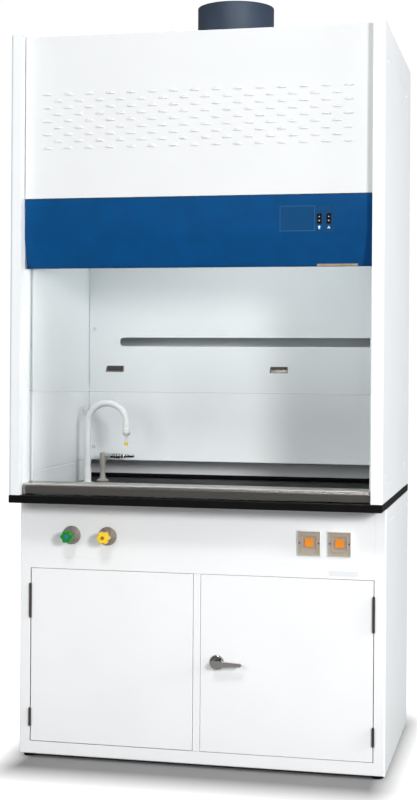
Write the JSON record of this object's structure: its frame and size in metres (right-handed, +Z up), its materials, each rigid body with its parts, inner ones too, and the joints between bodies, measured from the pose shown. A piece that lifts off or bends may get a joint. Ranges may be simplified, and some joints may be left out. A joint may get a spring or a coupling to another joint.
{
  "type": "fume hood",
  "caption": "Ducted laboratory fume hood with a counterbalanced vertical glass sash, dark worktop, baffled chamber, exhaust collar and two-door service cabinet.",
  "frame": {"origin": "on the floor under the middle of the whole hood", "axes": "+Z up, +X to the right as the user faces it, -Y towards the user"},
  "size_m": [1.2, 0.88, 2.556],
  "materials": {
    "white_paint": "satin powder coat",
    "white_liner": "satin phenolic board",
    "blue_paint": "satin powder coat",
    "slate_paint": "matt",
    "black_resin": "polished epoxy resin",
    "black_plastic": "matt",
    "stainless": "brushed",
    "chrome": "polished",
    "dark_steel": "oiled",
    "galvanised": "matt",
    "grey_coat": "grey chemical-resistant coating over brass",
    "green_plastic": "satin",
    "yellow_plastic": "satin",
    "beige_plastic": "satin",
    "glass": "clear",
    "lamp_glass": "frosted"
  },
  "bodies": {
    "cabinet_and_hood": {"base_left_side": "white_paint", "base_right_side": "white_paint", "base_back_panel": "white_paint", "base_floor_panel": "white_paint", "base_face_frame": "white_paint", "door_centre_post": "white_paint", "service_panel": "white_paint", "hood_left_side": "white_paint", "hood_right_side": "white_paint", "hood_back_panel": "white_paint", "roof_panel": "white_paint", "front_panel": "white_paint", "lamp_housing": "white_paint", "left_liner": "white_liner", "right_liner": "white_liner", "ceiling_panel": "white_liner", "baffle": "white_liner", "left_sash_track": "white_liner", "right_sash_track": "white_liner", "header": "blue_paint", "exhaust_collar": "slate_paint", "worktop": "black_resin", "foot_front_left": "black_plastic", "foot_front_right": "black_plastic", "foot_rear_left": "black_plastic", "foot_rear_right": "black_plastic", "drip_cup": "black_plastic", "water_valve": "stainless", "gas_valve": "stainless", "airfoil_sill": "stainless", "left_upper_hinge_frame_half": "dark_steel", "left_lower_hinge_frame_half": "dark_steel", "right_upper_hinge_frame_half": "dark_steel", "right_lower_hinge_frame_half": "dark_steel", "left_sash_cable": "galvanised", "right_sash_cable": "galvanised", "gooseneck_base": "grey_coat", "gas_tap": "grey_coat", "outlet_left": "beige_plastic", "outlet_right": "beige_plastic", "lamp_tube": "lamp_glass"},
    "sash": {"sash_glass": "glass", "sash_top_rail": "galvanised", "sash_pull_left": "stainless", "sash_pull_right": "stainless"},
    "left_weight": {"left_counterweight": "dark_steel"},
    "right_weight": {"right_counterweight": "dark_steel"},
    "left_cable_pulley": {"left_pulley": "black_plastic"},
    "right_cable_pulley": {"right_pulley": "black_plastic"},
    "left_door_leaf": {"left_door": "white_paint", "left_upper_hinge_door_half": "dark_steel"},
    "right_door_leaf": {"right_door": "white_paint", "right_upper_hinge_door_half": "dark_steel", "lever_rosette": "chrome"},
    "door_lever": {"lever_handle": "chrome"},
    "water_control": {"water_knob": "green_plastic"},
    "gas_control": {"gas_knob": "yellow_plastic"},
    "light_rocker": {"light_switch": "black_plastic"},
    "fan_rocker": {"fan_switch": "black_plastic"},
    "spout": {"gooseneck_spout": "grey_coat"}
  },
  "joints": [
    {"name": "sash_slide", "type": "slide", "parent": "cabinet_and_hood", "child": "sash", "axis": [0, 0, 1], "range_m": [-0.29, 0.305], "deforming": ["left_sash_cable", "right_sash_cable"]},
    {"name": "left_weight_slide", "type": "slide", "parent": "cabinet_and_hood", "child": "left_weight", "axis": [0, 0, 1], "range_m": [-0.305, 0.29]},
    {"name": "right_weight_slide", "type": "slide", "parent": "cabinet_and_hood", "child": "right_weight", "axis": [0, 0, 1], "range_m": [-0.305, 0.29]},
    {"name": "left_pulley_turn", "type": "hinge", "parent": "cabinet_and_hood", "child": "left_cable_pulley", "pos_m": [-0.578, -0.316, 2.285], "axis": [1, 0, 0], "range_deg": [-390, 380]},
    {"name": "right_pulley_turn", "type": "hinge", "parent": "cabinet_and_hood", "child": "right_cable_pulley", "pos_m": [0.578, -0.316, 2.285], "axis": [1, 0, 0], "range_deg": [-390, 380]},
    {"name": "left_door_hinge", "type": "hinge", "parent": "cabinet_and_hood", "child": "left_door_leaf", "pos_m": [-0.5632, -0.3252, 0.34], "axis": [0, 0, -1], "range_deg": [0, 110]},
    {"name": "right_door_hinge", "type": "hinge", "parent": "cabinet_and_hood", "child": "right_door_leaf", "pos_m": [0.5632, -0.3252, 0.34], "axis": [0, 0, 1], "range_deg": [0, 110]},
    {"name": "door_lever_turn", "type": "hinge", "parent": "right_door_leaf", "child": "door_lever", "pos_m": [0.0636, -0.32, 0.343], "axis": [0, 1, 0], "range_deg": [0, 90]},
    {"name": "water_knob_turn", "type": "hinge", "parent": "cabinet_and_hood", "child": "water_control", "pos_m": [-0.424, -0.32, 0.734], "axis": [0, -1, 0], "range_deg": [0, 360]},
    {"name": "gas_knob_turn", "type": "hinge", "parent": "cabinet_and_hood", "child": "gas_control", "pos_m": [-0.302, -0.32, 0.734], "axis": [0, -1, 0], "range_deg": [0, 360]},
    {"name": "light_switch_rock", "type": "hinge", "parent": "cabinet_and_hood", "child": "light_rocker", "pos_m": [0.3967, -0.404, 1.747], "axis": [-1, 0, 0], "range_deg": [0, 14]},
    {"name": "fan_switch_rock", "type": "hinge", "parent": "cabinet_and_hood", "child": "fan_rocker", "pos_m": [0.4265, -0.404, 1.747], "axis": [-1, 0, 0], "range_deg": [0, 14]},
    {"name": "spout_swivel", "type": "hinge", "parent": "cabinet_and_hood", "child": "spout", "pos_m": [-0.488, 0.06, 0.925], "axis": [0, 0, 1], "range_deg": [-100, 100]}
  ],
  "couplings": [
    {"joint": "left_weight_slide", "follows": "sash_slide", "ratio": -1},
    {"joint": "right_weight_slide", "follows": "sash_slide", "ratio": -1},
    {"joint": "left_pulley_turn", "follows": "sash_slide", "rad_per_m": -22.222},
    {"joint": "right_pulley_turn", "follows": "sash_slide", "rad_per_m": -22.222}
  ]
}
